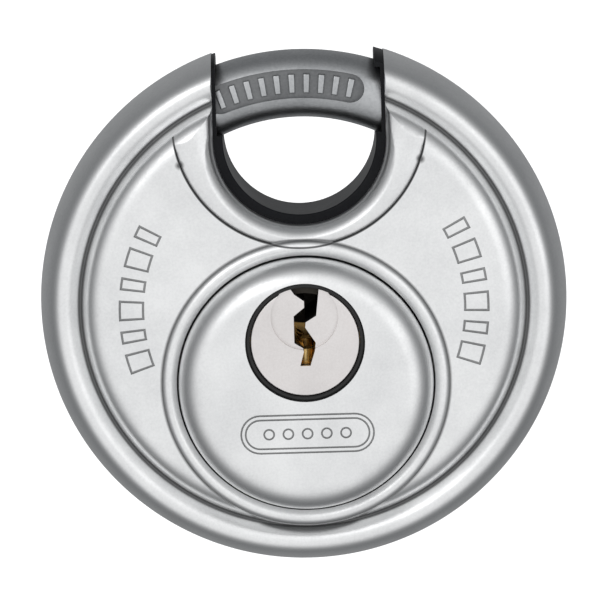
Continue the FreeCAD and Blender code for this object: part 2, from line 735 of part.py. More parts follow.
def build_cylinder_screws():
    return Part.makeCompound([cylinder_screw(x, z) for x, z in screw_places()])


def build_standoff_sleeves():
    outer = SCREW_RADIUS + SLEEVE_WALL
    return Part.makeCompound([washer(outer, SCREW_RADIUS, BODY_BACK, PLATE_FRONT, x, z) for x, z in screw_places()])


def build_all():
    pieces = {
        "front_shell": build_front_shell(),
        "rear_shell": build_rear_shell(),
        "cylinder_cup": build_cylinder_cup(),
        "throat_liner": build_throat_liner(),
        "drill_guard_plate": build_drill_guard_plate(),
        "plug_seal_ring": build_plug_seal_ring(),
        "cylinder_body": build_cylinder_body(),
        "chamber_caps": build_chamber_caps(),
        "standoff_sleeves": build_standoff_sleeves(),
        "cylinder_screws": build_cylinder_screws(),
        "bearing_plate": build_bearing_plate(),
        "shackle": build_shackle(),
        "shackle_carrier": build_shackle_carrier(),
        "carrier_rivets": build_carrier_rivets(),
        "plug": build_plug(),
        "plug_face_cap": build_plug_face_cap(),
        "plug_retaining_clip": build_plug_retaining_clip(),
        "drive_pinion": build_drive_pinion(),
        "pinion_screw": build_pinion_screw(),
    }
    for index in range(PIN_COUNT):
        pieces[f"key_pin_{index + 1}"] = build_key_pin(index)
        pieces[f"driver_pin_{index + 1}"] = build_driver_pin(index)
        pieces[f"pin_spring_{index + 1}"] = build_pin_spring(index)
    return pieces


def main():
    os.makedirs("parts", exist_ok=True)
    for name, shape in build_all().items():
        shape.translate(Vector(0, 0, -SHACKLE_RADIUS))
        shape.exportStep(f"parts/{name}.step")
        print(f"{name}: {len(shape.Solids)} solids, {shape.Volume:.2f} mm3, valid {shape.isValid()}")


main()
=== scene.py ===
"""Disc padlock: detailed visual model, finishes, studio and camera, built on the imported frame.

Lengths in the classes are in millimetres, about the disc's own centre: +X right, +Z up, and a depth is
a distance in front of the middle plane.  Each finished mesh is moved and scaled into the frame once.
"""
import json
import logging
import math
from dataclasses import dataclass, field
from enum import Enum
from typing import Any, Callable, Iterable, Optional, Sequence

import bmesh
import bpy
from mathutils import Matrix, Vector


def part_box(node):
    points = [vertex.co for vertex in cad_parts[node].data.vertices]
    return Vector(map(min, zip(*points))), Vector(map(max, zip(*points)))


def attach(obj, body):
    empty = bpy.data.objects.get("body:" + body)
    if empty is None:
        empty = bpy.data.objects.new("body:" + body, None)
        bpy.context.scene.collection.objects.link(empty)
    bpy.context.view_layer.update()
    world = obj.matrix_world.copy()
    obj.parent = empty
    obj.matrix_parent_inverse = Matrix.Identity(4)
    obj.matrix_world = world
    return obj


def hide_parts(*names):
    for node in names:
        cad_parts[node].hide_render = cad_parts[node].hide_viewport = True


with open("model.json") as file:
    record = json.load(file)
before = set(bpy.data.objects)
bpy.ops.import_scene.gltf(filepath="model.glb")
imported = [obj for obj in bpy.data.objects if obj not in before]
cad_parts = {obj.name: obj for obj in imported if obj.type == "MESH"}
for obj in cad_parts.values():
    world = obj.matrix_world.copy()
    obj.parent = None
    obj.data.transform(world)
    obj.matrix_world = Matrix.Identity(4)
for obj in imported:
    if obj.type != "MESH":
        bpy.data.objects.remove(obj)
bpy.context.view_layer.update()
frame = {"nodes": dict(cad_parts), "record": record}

MM = 0.001
FAR = 12.0                     # depth beyond every face: tools that cut through reach it
LOG = logging.getLogger("disc_padlock")
Profile = list[tuple[float, float]]

FACE_DEPTH = 6.5
CUP_CENTRE = -7.0
PLUG_CENTRE = -2.7
DISH_CENTRE = 17.8
ENGRAVING_MARGIN = 1.0         # how far an engraving tool stands past the metal it cuts


class Side(Enum):
    """Side of the body that a shell closes."""

    FRONT = 1
    REAR = -1


class BooleanKind(Enum):
    """What a boolean keeps of two solids."""

    CUT = "DIFFERENCE"
    JOIN = "UNION"
    COMMON = "INTERSECT"


# Curves of a half section


def arc_points(centre: tuple[float, float], radius: float, start: float, end: float, steps: int) -> Profile:
    """Points of an arc in a half section.

    Args:
        centre: Radius and depth of the arc's centre.
        radius: Radius of the arc.
        start: First angle in degrees, from the rim direction towards the face.
        end: Last angle in degrees.
        steps: Number of chords.

    Returns:
        The points, both ends included.
    """
    angles = [math.radians(start + (end - start) * index / steps) for index in range(steps + 1)]
    return [(centre[0] + radius * math.cos(a), centre[1] + radius * math.sin(a)) for a in angles]


def arc_through(first: tuple[float, float], middle: tuple[float, float], last: tuple[float, float],
                steps: int) -> Profile:
    """Points of the arc from one point through a second to a third.

    Args:
        first: Radius and depth of the arc's start.
        middle: Radius and depth of a point on the way.
        last: Radius and depth of the arc's end.
        steps: Number of chords.

    Returns:
        The points, both ends included.
    """
    (ax, ay), (bx, by), (cx, cy) = first, middle, last
    twice = 2 * (ax * (by - cy) + bx * (cy - ay) + cx * (ay - by))
    squares = [x * x + y * y for x, y in (first, middle, last)]
    x = (squares[0] * (by - cy) + squares[1] * (cy - ay) + squares[2] * (ay - by)) / twice
    y = (squares[0] * (cx - bx) + squares[1] * (ax - cx) + squares[2] * (bx - ax)) / twice
    start = math.degrees(math.atan2(ay - y, ax - x))
    end = math.degrees(math.atan2(cy - y, cx - x))
    return arc_points((x, y), math.hypot(ax - x, ay - y), start, end, steps)


def polar(radius: float, angle: float, depth: float = 0.0) -> Vector:
    """Point at a radius and a clockwise angle in degrees from the top."""
    return Vector((radius * math.sin(math.radians(angle)), -depth, radius * math.cos(math.radians(angle))))


# Solids


class Solid:
    """A closed mesh that is shaped with bmesh operators and booleans."""

    def __init__(self, mesh: bmesh.types.BMesh) -> None:
        """Keeps a bmesh, with its doubles merged and its faces outwards.

        Args:
            mesh: The closed mesh, which this solid then owns.
        """
        bmesh.ops.remove_doubles(mesh, verts=mesh.verts, dist=1e-4)
        bmesh.ops.recalc_face_normals(mesh, faces=mesh.faces)
        self.mesh = mesh

    @classmethod
    def lathe(cls, profile: Sequence[tuple[float, float]], steps: int = 192, z: float = 0.0) -> "Solid":
        """Turns a half section about an axis along Y.

        Args:
            profile: Radius and depth of each point; it is closed on itself unless both ends are on the axis.
            steps: Number of chords round the axis.
            z: Height of the axis.

        Returns:
            The turned solid.
        """
        mesh = bmesh.new()
        verts = [mesh.verts.new((radius, -depth, z)) for radius, depth in profile]
        edges = [mesh.edges.new(pair) for pair in zip(verts, verts[1:])]
        on_axis = profile[0][0] < 1e-6 and profile[-1][0] < 1e-6
        if not on_axis:
            edges.append(mesh.edges.new((verts[-1], verts[0])))
        bmesh.ops.spin(mesh, geom=verts + edges, cent=(0, 0, z), axis=(0, 1, 0), angle=2 * math.pi,
                       steps=steps, use_merge=True, use_duplicate=False)
        return cls(mesh)

    @classmethod
    def prism(cls, outline: Iterable[Vector], front: float, back: float) -> "Solid":
        """Extrudes an outline in the disc's plane.

        Args:
            outline: Corners of the outline; their Y is not used.
            front: Depth of the front face.
            back: Depth of the back face.

        Returns:
            The prism.
        """
        mesh = bmesh.new()
        face = mesh.faces.new([mesh.verts.new((point.x, -front, point.z)) for point in outline])
        result = bmesh.ops.extrude_face_region(mesh, geom=[face])
        moved = [item for item in result["geom"] if isinstance(item, bmesh.types.BMVert)]
        bmesh.ops.translate(mesh, verts=moved, vec=(0, front - back, 0))
        return cls(mesh)

    @classmethod
    def upright(cls, outline: Profile, low: float, high: float) -> "Solid":
        """Extrudes a level outline upwards.

        Args:
            outline: X and depth of each corner.
            low: Height of the lower face.
            high: Height of the upper face.

        Returns:
            The prism.
        """
        mesh = bmesh.new()
        face = mesh.faces.new([mesh.verts.new((x, -depth, low)) for x, depth in outline])
        result = bmesh.ops.extrude_face_region(mesh, geom=[face])
        moved = [item for item in result["geom"] if isinstance(item, bmesh.types.BMVert)]
        bmesh.ops.translate(mesh, verts=moved, vec=(0, 0, high - low))
        return cls(mesh)

    @classmethod
    def rod(cls, radius: float, front: float, back: float, x: float = 0.0, z: float = 0.0,
            segments: int = 96) -> "Solid":
        """Makes a cylinder about an axis along Y.

        Args:
            radius: Radius of the cylinder.
            front: Depth of its front face.
            back: Depth of its back face.
            x: Place of the axis across the disc.
            z: Height of the axis.
            segments: Number of sides.

        Returns:
            The cylinder.
        """
        mesh = bmesh.new()
        bmesh.ops.create_cone(mesh, cap_ends=True, segments=segments, radius1=radius, radius2=radius,
                              depth=front - back)
        upright = Matrix.Rotation(math.pi / 2, 3, "X")
        bmesh.ops.rotate(mesh, verts=mesh.verts, cent=(0, 0, 0), matrix=upright)
        bmesh.ops.translate(mesh, verts=mesh.verts, vec=(x, -(front + back) / 2, z))
        return cls(mesh)

    @classmethod
    def sector(cls, inner: float, outer: float, start: float, end: float, front: float, back: float,
               step: float = 1.5) -> "Solid":
        """Makes part of a ring about the disc's axis.

        Args:
            inner: Inner radius.
            outer: Outer radius.
            start: First clockwise angle in degrees from the top.
            end: Last angle.
            front: Depth of the front face.
            back: Depth of the back face.
            step: Widest chord, in degrees.

        Returns:
            The sector.
        """
        count = max(2, math.ceil((end - start) / step))
        angles = [start + (end - start) * index / count for index in range(count + 1)]
        outline = [polar(outer, angle) for angle in angles]
        outline += [polar(inner, angle) for angle in reversed(angles)]
        return cls.prism(outline, front, back)

    @classmethod
    def joined(cls, solids: Iterable["Solid"]) -> "Solid":
        """Gathers separate solids in one mesh.

        Args:
            solids: The solids, which don't meet.

        Returns:
            One solid of several islands.
        """
        whole = bmesh.new()
        for solid in solids:
            part = bpy.data.meshes.new("part")
            solid.mesh.to_mesh(part)
            whole.from_mesh(part)
            bpy.data.meshes.remove(part)
        return cls(whole)

    def _object(self, name: str) -> bpy.types.Object:
        """Makes a temporary object of this solid, linked to the scene.

        Args:
            name: Name of the object and its mesh.

        Returns:
            The object.
        """
        data = bpy.data.meshes.new(name)
        self.mesh.to_mesh(data)
        made = bpy.data.objects.new(name, data)
        bpy.context.scene.collection.objects.link(made)
        return made

    def boolean(self, other: "Solid", kind: BooleanKind) -> "Solid":
        """Combines this solid with another by Blender's exact boolean.

        Args:
            other: The second solid.
            kind: What is kept.

        Returns:
            The combined solid.
        """
        base = self._object("base")
        tool = other._object("tool")
        modifier = base.modifiers.new("combine", "BOOLEAN")
        modifier.operation = kind.value
        modifier.solver = "EXACT"
        modifier.object = tool
        evaluated = base.evaluated_get(bpy.context.evaluated_depsgraph_get())
        result = bmesh.new()
        result.from_mesh(evaluated.to_mesh())
        for temporary in (base, tool):
            data = temporary.data
            bpy.data.objects.remove(temporary)
            bpy.data.meshes.remove(data)
        return Solid(result)

    def cut(self, other: "Solid") -> "Solid":
        """This solid without another."""
        return self.boolean(other, BooleanKind.CUT)

    def join(self, other: "Solid") -> "Solid":
        """This solid together with another."""
        return self.boolean(other, BooleanKind.JOIN)

    def common(self, other: "Solid") -> "Solid":
        """What this solid shares with another."""
        return self.boolean(other, BooleanKind.COMMON)

    def raised(self, height: float) -> "Solid":
        """This solid moved upwards."""
        bmesh.ops.translate(self.mesh, verts=self.mesh.verts, vec=(0, 0, height))
        return self

    def mirrored(self) -> "Solid":
        """This solid mirrored in the middle plane."""
        bmesh.ops.scale(self.mesh, verts=self.mesh.verts, vec=(1, -1, 1))
        bmesh.ops.recalc_face_normals(self.mesh, faces=self.mesh.faces)
        return self

    def bevelled(self, width: float, picks: Callable[[bmesh.types.BMEdge], bool],
                 segments: int = 3) -> "Solid":
        """Rounds some of the edges.

        Args:
            width: Width of the bevel.
            picks: Test that is true for an edge to round.
            segments: Number of chords across the bevel.

        Returns:
            This solid.
        """
        edges = [edge for edge in self.mesh.edges if picks(edge)]
        bmesh.ops.bevel(self.mesh, geom=edges, offset=width, affect="EDGES", segments=segments, profile=0.5,
                        material=-1, clamp_overlap=True)
        return self


@dataclass(frozen=True)
class Place:
    """Where the disc lies in the frame."""

    disc_height: float

    @classmethod
    def from_frame(cls) -> "Place":
        """Reads the height of the disc's centre, in millimetres, from the rear shell."""
        low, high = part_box("rear_shell")
        radius = (high.x - low.x) / 2 / MM
        return cls(disc_height=low.z / MM + radius)


# Shader graphs


class Signal:
    """A number or colour in a node graph; arithmetic on it adds Math nodes."""

    def __init__(self, graph: "Graph", socket: bpy.types.NodeSocket) -> None:
        """Wraps an output socket of a graph."""
        self.graph = graph
        self.socket = socket

    def _math(self, operation: str, first: Any, second: Any) -> "Signal":
        """Adds a Math node on two values or signals."""
        return self.graph.add("ShaderNodeMath", {"operation": operation}, {0: first, 1: second})[0]

    def __add__(self, other: Any) -> "Signal":
        """Sum."""
        return self._math("ADD", self, other)

    def __radd__(self, other: Any) -> "Signal":
        """Reflected sum."""
        return self._math("ADD", other, self)

    def __sub__(self, other: Any) -> "Signal":
        """Difference."""
        return self._math("SUBTRACT", self, other)

    def __rsub__(self, other: Any) -> "Signal":
        """Reflected difference."""
        return self._math("SUBTRACT", other, self)

    def __mul__(self, other: Any) -> "Signal":
        """Product."""
        return self._math("MULTIPLY", self, other)

    def __rmul__(self, other: Any) -> "Signal":
        """Reflected product."""
        return self._math("MULTIPLY", other, self)

    def root(self) -> "Signal":
        """Square root."""
        return self._math("SQRT", self, 0.0)

    def larger(self, other: Any) -> "Signal":
        """The larger of two values."""
        return self._math("MAXIMUM", self, other)


class Graph:
    """Builds the node graph of one material or world."""

    def __init__(self, tree: bpy.types.NodeTree) -> None:
        """Empties a node tree and takes it over."""
        tree.nodes.clear()
        self.tree = tree

    def add(self, kind: str, settings: Optional[dict[str, Any]] = None,
            inputs: Optional[dict[Any, Any]] = None) -> list[Signal]:
        """Adds a node.

        Args:
            kind: The node's type.
            settings: Properties that are set before its sockets are used; a ramp's stops are "stops".
            inputs: A value or a Signal for each socket, by name or number.

        Returns:
            A Signal for each output.
        """
        node = self.tree.nodes.new(kind)
        for name, value in (settings or {}).items():
            if name == "stops":
                self._set_stops(node.color_ramp, value)
            else:
                setattr(node, name, value)
        for name, value in (inputs or {}).items():
            if isinstance(value, Signal):
                self.tree.links.new(value.socket, node.inputs[name])
            else:
                node.inputs[name].default_value = value
        return [Signal(self, output) for output in node.outputs]

    @staticmethod
    def _set_stops(ramp: bpy.types.ColorRamp, stops: Sequence[tuple[float, tuple[float, ...]]]) -> None:
        """Gives a ramp its stops.

        Args:
            ramp: The ramp of a node.
            stops: Position and colour of each stop.
        """
        while len(ramp.elements) < len(stops):
            ramp.elements.new(0.5)
        for element, (position, colour) in zip(ramp.elements, stops):
            element.position = position
            element.color = (*colour, 1.0)

    def coordinates(self) -> Signal:
        """Object coordinates, in metres."""
        return self.add("ShaderNodeTexCoord")[3]

    def stretched(self, vector: Signal, scale: tuple[float, float, float]) -> Signal:
        """Coordinates scaled along each axis."""
        return self.add("ShaderNodeMapping", {}, {"Vector": vector, "Scale": scale})[0]

    def noise(self, vector: Signal, scale: float, detail: float = 3.0, roughness: float = 0.5) -> Signal:
        """Noise value from 0 to 1."""
        inputs = {"Vector": vector, "Scale": scale, "Detail": detail, "Roughness": roughness}
        return self.add("ShaderNodeTexNoise", {}, inputs)[0]

    def ranged(self, value: Signal, low: float, high: float, to_low: float, to_high: float) -> Signal:
        """Value mapped from one range to another, and held at its ends."""
        ends = {"From Min": low, "From Max": high, "To Min": to_low, "To Max": to_high}
        return self.add("ShaderNodeMapRange", {}, {"Value": value, **ends})[0]

    def mixed(self, factor: Any, first: Any, second: Any) -> Signal:
        """Mix of two colours."""
        return self.add("ShaderNodeMix", {"data_type": "RGBA"}, {0: factor, 6: first, 7: second})[2]


@dataclass(frozen=True)
class PaintedShade:
    """Painted shade in a recess, crease or seam: a ring or disc about a point of the disc's plane, between
    two depths.
    """

    x: float
    z: float
    inner: float
    outer: float
    strength: float
    front: float = FAR
    back: float = -FAR
    soft: float = 0.1
    depth_soft: float = 0.04
    top: Optional[float] = None

    def mask(self, graph: Graph, parts: list[Signal], height: float) -> Signal:
        """How strongly the painted shade covers a point.

        Args:
            graph: The graph to build in.
            parts: X, Y and Z of the point, in metres in the frame.
            height: Height of the disc's centre in the frame, in millimetres.

        Returns:
            A value from 0 to the painted shade's strength.
        """
        across = parts[0] * (1 / MM) - self.x
        up = parts[2] * (1 / MM) - (self.z + height)
        depth = parts[1] * (-1 / MM)
        radius = (across * across + up * up).root()
        mask = graph.ranged(radius, self.outer, self.outer + self.soft, self.strength, 0.0)
        if self.inner:
            mask = mask * graph.ranged(radius, self.inner - self.soft, self.inner, 0.0, 1.0)
        if self.front < FAR:
            mask = mask * graph.ranged(depth, self.front - self.depth_soft, self.front, 1.0, 0.0)
        if self.back > -FAR:
            mask = mask * graph.ranged(depth, self.back, self.back + self.depth_soft, 0.0, 1.0)
        if self.top is not None:
            mask = mask * graph.ranged(up, self.top - self.z, self.top - self.z + self.soft, 1.0, 0.0)
        return mask


@dataclass(frozen=True)
class Finish:
    """A surface finish with grain, mottling and wear, and optional painted shade that darkens its recesses.
    """

    name: str
    colour: tuple[float, float, float]
    worn_colour: tuple[float, float, float]
    metallic: float
    roughness: float
    roughness_spread: float
    grain_scale: float
    grain_depth: float
    mottle_scale: float = 220.0
    scratch_stretch: tuple[float, float, float] = (1.0, 1.0, 1.0)
    coat: float = 0.0
    specular: float = 0.5
    painted_shades: tuple[PaintedShade, ...] = ()
    shade_colour: tuple[float, float, float] = (0.035, 0.036, 0.038)
    shade_roughness: float = 0.25
    mottle_share: float = 0.4
    cloud_share: float = 0.25
    grain_share: float = 0.35
    wear_low: float = 0.38
    wear_high: float = 0.64
    grain_roughness: float = 0.6
    bump_strength: float = 0.35
    coat_roughness: float = 0.08

    def material(self, height: float) -> bpy.types.Material:
        """Builds the finish's material.

        Args:
            height: Height of the disc's centre in the frame, in millimetres.

        Returns:
            The material.
        """
        made = bpy.data.materials.new(self.name)
        made.use_nodes = True
        graph = Graph(made.node_tree)
        place = graph.coordinates()
        mottle = graph.noise(place, self.mottle_scale, 5.0, 0.6)
        cloud = graph.noise(place, self.mottle_scale / 4, 2.0)
        grain = graph.noise(graph.stretched(place, self.scratch_stretch), self.grain_scale, 4.0, 0.65)
        worn = mottle * self.mottle_share + cloud * self.cloud_share + grain * self.grain_share
        wear = graph.ranged(worn, self.wear_low, self.wear_high, 0.0, 1.0)
        colour = graph.mixed(wear, (*self.colour, 1.0), (*self.worn_colour, 1.0))
        spread = (mottle - 0.5) * self.roughness_spread
        spread = spread + (grain - 0.5) * (self.grain_roughness * self.roughness_spread)
        # Painted shade: the colour is darkened and roughened where recesses, creases and seams fall in
        # shade.
        if self.painted_shades:
            parts = graph.add("ShaderNodeSeparateXYZ", {}, {0: place})
            painted_shade = self.painted_shades[0].mask(graph, parts, height)
            for shade in self.painted_shades[1:]:
                painted_shade = painted_shade.larger(shade.mask(graph, parts, height))
            colour = graph.mixed(painted_shade, colour, (*self.shade_colour, 1.0))
            spread = spread + painted_shade * self.shade_roughness
        bump = graph.add("ShaderNodeBump", {}, {
            "Strength": self.bump_strength, "Distance": self.grain_depth, "Height": grain})
        shader = graph.add("ShaderNodeBsdfPrincipled", {}, {
            "Base Color": colour, "Metallic": self.metallic, "Roughness": spread + self.roughness,
            "Coat Weight": self.coat, "Coat Roughness": self.coat_roughness,
            "Specular IOR Level": self.specular, "Normal": bump[0]})
        graph.add("ShaderNodeOutputMaterial", {}, {"Surface": shader[0]})
        return made


PLAIN_STEEL = ((0.88, 0.885, 0.885), (0.74, 0.745, 0.75))      # clean and worn
# Painted shade: dark ring painted along the groove, where shade falls.
GROOVE_SHADE = PaintedShade(0, 0, 20.94, 21.2, 0.86, soft=0.14)
# Painted shade: the engraved marks on the face darkened where their floors lie in shade.
MARK_SHADE = PaintedShade(0, 0, 14.9, 17.5, 0.62, front=6.49, back=6.2, top=10.0)
# Painted shade: dark line painted along the dish's crease.
CREASE_SHADE = PaintedShade(0, DISH_CENTRE, 11.82, 11.93, 0.85, back=5.6, soft=0.07)
# Painted shade: dark spots painted in the two dents on the crease.
LEFT_DENT_SHADE = PaintedShade(-11.25, 13.95, 0, 0.16, 0.8, back=5.6, soft=0.34)
RIGHT_DENT_SHADE = PaintedShade(11.25, 13.95, 0, 0.16, 0.8, back=5.6, soft=0.34)
# Painted shade: dark ring painted at the seam between the face and the cup.
SEAM_SHADE = PaintedShade(0, CUP_CENTRE, 11.9, 12.2, 0.9, soft=0.1, front=6.62, back=2.5)
# Painted shade: thin dark ring painted round the foot of the lip.
LIP_SHADE = PaintedShade(0, CUP_CENTRE, 13.5, 13.62, 0.6, soft=0.16, back=5.6)
# Painted shade: the engraved badge darkened where its lines lie in shade.
BADGE_SHADE = PaintedShade(0, CUP_CENTRE, 0, 8.6, 0.66, front=9.29, back=8.9)
# Painted shade: the cup darkened towards its foot, where it meets the face.
CUP_FOOT_SHADE = PaintedShade(0, CUP_CENTRE, 11.5, 13.0, 0.9, front=6.8, depth_soft=0.25)
# Painted shade: the floor of the shackle's sunk panel darkened, leaving its raised bars light.
PANEL_SHADE = PaintedShade(0, 0, 19.56, 22.24, 0.62, front=2.6, back=2.2, depth_soft=0.08)
# Painted shade: the keyway's walls behind the plug's face painted dark.
KEYWAY_SHADE = PaintedShade(0, PLUG_CENTRE, 0, 5.04, 0.95, front=8.33)
# Painted shade: the brass seen through the keyway's upper mouth painted dark.
KEYWAY_MOUTH_SHADE = PaintedShade(0, 2.5, 0, 5.0, 0.97)

SATIN_STEEL = Finish("satin_steel", *PLAIN_STEEL, 1.0, 0.34, 0.20, 4200.0, 1.8e-5, painted_shades=(
    GROOVE_SHADE, MARK_SHADE, CREASE_SHADE, LEFT_DENT_SHADE, RIGHT_DENT_SHADE, SEAM_SHADE, LIP_SHADE))
CUP_STEEL = Finish("cup_steel", *PLAIN_STEEL, 1.0, 0.33, 0.18, 4200.0, 1.8e-5,
                   painted_shades=(BADGE_SHADE, CUP_FOOT_SHADE))
FORGED_STEEL = Finish("forged_steel", (0.56, 0.57, 0.58), (0.40, 0.41, 0.42), 1.0, 0.36, 0.22, 3600.0,
                      2.2e-5, painted_shades=(PANEL_SHADE,))
NICKEL = Finish("warm_nickel", (0.80, 0.77, 0.76), (0.70, 0.67, 0.66), 1.0, 0.38, 0.12, 5200.0, 8e-6,
                painted_shades=(KEYWAY_SHADE,))
BLACK_PLASTIC = Finish("black_plastic", (0.006, 0.0065, 0.008), (0.012, 0.0125, 0.014), 0.0, 0.33, 0.12,
                       3000.0, 6e-6, specular=0.08)
BLACK_RUBBER = Finish("black_rubber", (0.014, 0.014, 0.014), (0.022, 0.022, 0.022), 0.0, 0.5, 0.15,
                      4000.0, 8e-6, specular=0.3)
BRASS = Finish("machined_brass", (0.78, 0.56, 0.24), (0.62, 0.42, 0.16), 1.0, 0.34, 0.14, 4200.0, 6e-6,
               scratch_stretch=(1.0, 0.2, 1.0), painted_shades=(KEYWAY_MOUTH_SHADE,))
HARD_STEEL = Finish("hardened_steel", (0.36, 0.36, 0.38), (0.28, 0.28, 0.30), 1.0, 0.38, 0.14, 3800.0, 8e-6)
ZINC_STEEL = Finish("zinc_steel", (0.58, 0.58, 0.56), (0.48, 0.48, 0.46), 1.0, 0.36, 0.16, 3800.0, 8e-6)
SPRING_STEEL = Finish("spring_steel", (0.46, 0.46, 0.48), (0.36, 0.36, 0.38), 1.0, 0.30, 0.12, 4200.0, 5e-6)

FINISH_OF_SLOT = {"body_steel": SATIN_STEEL, "cup_steel": CUP_STEEL, "shackle_steel": FORGED_STEEL,
                  "black_plastic": BLACK_PLASTIC, "black_rubber": BLACK_RUBBER, "plug_nickel": NICKEL,
                  "brass": BRASS, "hardened_steel": HARD_STEEL, "inner_steel": ZINC_STEEL,
                  "spring_steel": SPRING_STEEL}


@dataclass
class Finishes:
    """The materials of the record's slots."""

    place: Place
    made: dict[str, bpy.types.Material] = field(default_factory=dict)

    def of(self, slot: str) -> bpy.types.Material:
        """The material of a slot, built the first time it is asked for."""
        if slot not in self.made:
            self.made[slot] = FINISH_OF_SLOT[slot].material(self.place.disc_height)
        return self.made[slot]

    def dress_frame(self) -> None:
        """Gives every CAD node the finish of its slot."""
        for entry in frame["record"]["subparts"]:
            node = frame["nodes"][entry["node"]]
            node.data.materials.clear()
            node.data.materials.append(self.of(entry["material_slot"]))


@dataclass
class Workshop:
    """Turns solids into finished pieces that ride on their bodies."""

    place: Place
    finishes: Finishes
    sharp_angle: float = 32.0

    def finish(self, solid: Solid, name: str, node: str, body: str, slot: str) -> None:
        """Args:
            solid: The shape, in millimetres about the disc's centre.
            name: The piece's name.
            node: The CAD node that it stands for.
            body: The body that it rides on.
            slot: The record's material slot, which sets its finish.
        """
        data = bpy.data.meshes.new(name)
        solid.mesh.to_mesh(data)
        data.transform(Matrix.Scale(MM, 4) @ Matrix.Translation((0, 0, self.place.disc_height)))
        data.polygons.foreach_set("use_smooth", [True] * len(data.polygons))
        data.set_sharp_from_angle(angle=math.radians(self.sharp_angle))
        data.materials.append(self.finishes.of(slot))
        piece = bpy.data.objects.new(name, data)
        bpy.context.scene.collection.objects.link(piece)
        weighted = piece.modifiers.new("even_shading", "WEIGHTED_NORMAL")
        weighted.keep_sharp = True
        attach(piece, body)
        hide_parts(node)
        LOG.info("%s: %d faces on %s", name, len(data.polygons), body)


# Sub-assemblies


@dataclass
class Notch:
    """The notch at the top of the body, with its dished and rolled edge."""

    centre: float = 15.85
    radius: float = 8.1
    flare: float = 1.8
    face_depth: float = FACE_DEPTH
    dish_centre: float = DISH_CENTRE
    dish_radius: float = 11.9
    crease_drop: float = 0.35
    crest_radius: float = 10.4
    crest_drop: float = 0.1
    inner_drop: float = 0.9
    height: float = 16.0
    flare_steps: int = 10
    crest_steps: int = 16
    wall_chords: int = 240
    dish_chords: int = 300
    overcut: float = 0.015
    lap: float = 0.1

    def outline(self, inset: float) -> Profile:
        """Section through the notch's wall.

        Args:
            inset: How far the wall is grown into the metal.

        Returns:
            Half width and depth of each point, from back to front.
        """
        wall = self.radius + inset
        flare = self.flare - inset
        top = self.face_depth - inset + self.overcut
        roll = arc_points((wall + flare, top - flare), flare, 180, 90, self.flare_steps)
        half = roll + [(wall + flare, FAR)]
        return [(radius, -depth) for radius, depth in reversed(half)] + half

    def hollow(self, inset: float) -> Solid:
        """Round lower part of the notch's space, through the whole body."""
        return Solid.lathe([(0, -FAR), *self.outline(inset), (0, FAR)], self.wall_chords, self.centre)

    def slot(self, inset: float) -> Solid:
        """Upright upper part of the notch's space.

        Args:
            inset: How far the wall is grown into the metal.

        Returns:
            The space, as a cutting solid.
        """
        right = self.outline(inset)
        left = [(-radius, depth) for radius, depth in reversed(right)]
        return Solid.upright(right + left, self.centre - self.lap, self.centre + self.height)

    def dish(self, inset: float) -> Solid:
        """Space over the raised band between the face's crease and the rolled edge.

        Args:
            inset: How far the band is sunk below its outer skin.

        Returns:
            The space, as a cutting solid.
        """
        top = self.face_depth - inset
        edge = (self.radius, top - self.inner_drop)
        crest = (self.crest_radius, top - self.crest_drop)
        band = arc_through(edge, crest, (self.dish_radius, top - self.crease_drop), self.crest_steps)
        profile = [(0, top - self.inner_drop), *band, (self.dish_radius, FAR), (0, FAR)]
        return Solid.lathe(profile, self.dish_chords, self.dish_centre)

    def opened(self, solid: Solid, inset: float) -> Solid:
        """A solid without the notch and its dish."""
        return solid.cut(self.dish(inset)).cut(self.hollow(inset)).cut(self.slot(inset))


